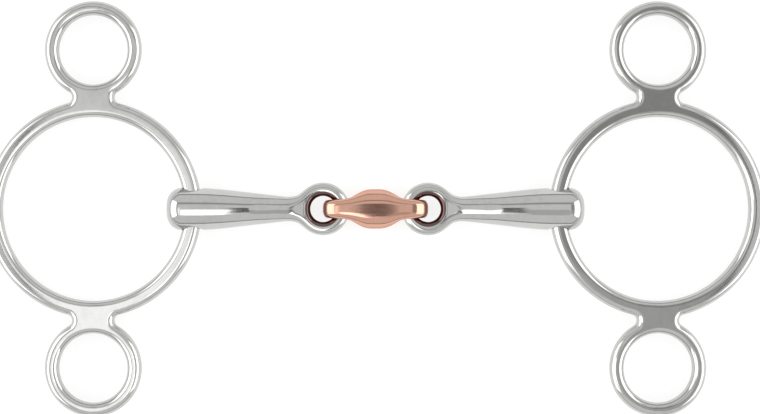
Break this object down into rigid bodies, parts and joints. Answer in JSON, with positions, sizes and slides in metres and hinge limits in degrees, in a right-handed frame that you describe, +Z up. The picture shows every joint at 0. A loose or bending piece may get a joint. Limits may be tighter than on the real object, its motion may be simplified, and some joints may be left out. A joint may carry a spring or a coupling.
{
  "type": "gag snaffle bit",
  "caption": "Loose-ring gag snaffle bit: tapered arms with a copper lozenge between them, and a cheek of one large and two small rings at each end.",
  "frame": {"origin": "on the surface that the bit lies on, under the middle of the lozenge", "axes": "+X along the mouthpiece to the right, +Y towards the upper (bridle) rings, +Z up, away from the surface"},
  "size_m": [0.2822, 0.15, 0.0153],
  "materials": {
    "steel": "mirror-polished stainless steel with fine handling scratches",
    "copper": "polished copper alloy, pinkish brown, slightly tarnished in its hollows"
  },
  "bodies": {
    "lozenge": {"centre_lozenge": "copper"},
    "left_eye": {"left_arm_eye": "steel"},
    "left_arm": {"left_arm": "steel"},
    "left_ring": {"left_main_ring": "steel"},
    "left_ring_ends": {"left_upper_ring": "steel", "left_lower_ring": "steel"},
    "right_eye": {"right_arm_eye": "steel"},
    "right_arm": {"right_arm": "steel"},
    "right_ring": {"right_main_ring": "steel"},
    "right_ring_ends": {"right_upper_ring": "steel", "right_lower_ring": "steel"}
  },
  "joints": [
    {"name": "left_fold", "type": "hinge", "parent": "lozenge", "child": "left_eye", "pos_m": [-0.0122, 0, 0.00765], "axis": [0, 1, 0], "range_deg": [-120, 120]},
    {"name": "left_tilt", "type": "hinge", "parent": "left_eye", "child": "left_arm", "pos_m": [-0.01888, 0, 0.00765], "axis": [0, 0, 1], "range_deg": [-110, 110]},
    {"name": "left_swing", "type": "hinge", "parent": "left_arm", "child": "left_ring", "pos_m": [-0.06598, 0, 0.00765], "axis": [0, -1, 0], "range_deg": [-165, 165]},
    {"name": "left_slide", "type": "hinge", "parent": "left_ring", "child": "left_ring_ends", "pos_m": [-0.10188, 0, 0.00535], "axis": [-0.0638, 0, 0.998], "range_deg": [-62, 62]},
    {"name": "right_fold", "type": "hinge", "parent": "lozenge", "child": "right_eye", "pos_m": [0.0122, 0, 0.00765], "axis": [0, 1, 0], "range_deg": [-120, 120]},
    {"name": "right_tilt", "type": "hinge", "parent": "right_eye", "child": "right_arm", "pos_m": [0.01888, 0, 0.00765], "axis": [0, 0, 1], "range_deg": [-110, 110]},
    {"name": "right_swing", "type": "hinge", "parent": "right_arm", "child": "right_ring", "pos_m": [0.06598, 0, 0.00765], "axis": [0, -1, 0], "range_deg": [-165, 165]},
    {"name": "right_slide", "type": "hinge", "parent": "right_ring", "child": "right_ring_ends", "pos_m": [0.10188, 0, 0.00535], "axis": [0.0638, 0, 0.998], "range_deg": [-62, 62]}
  ]
}
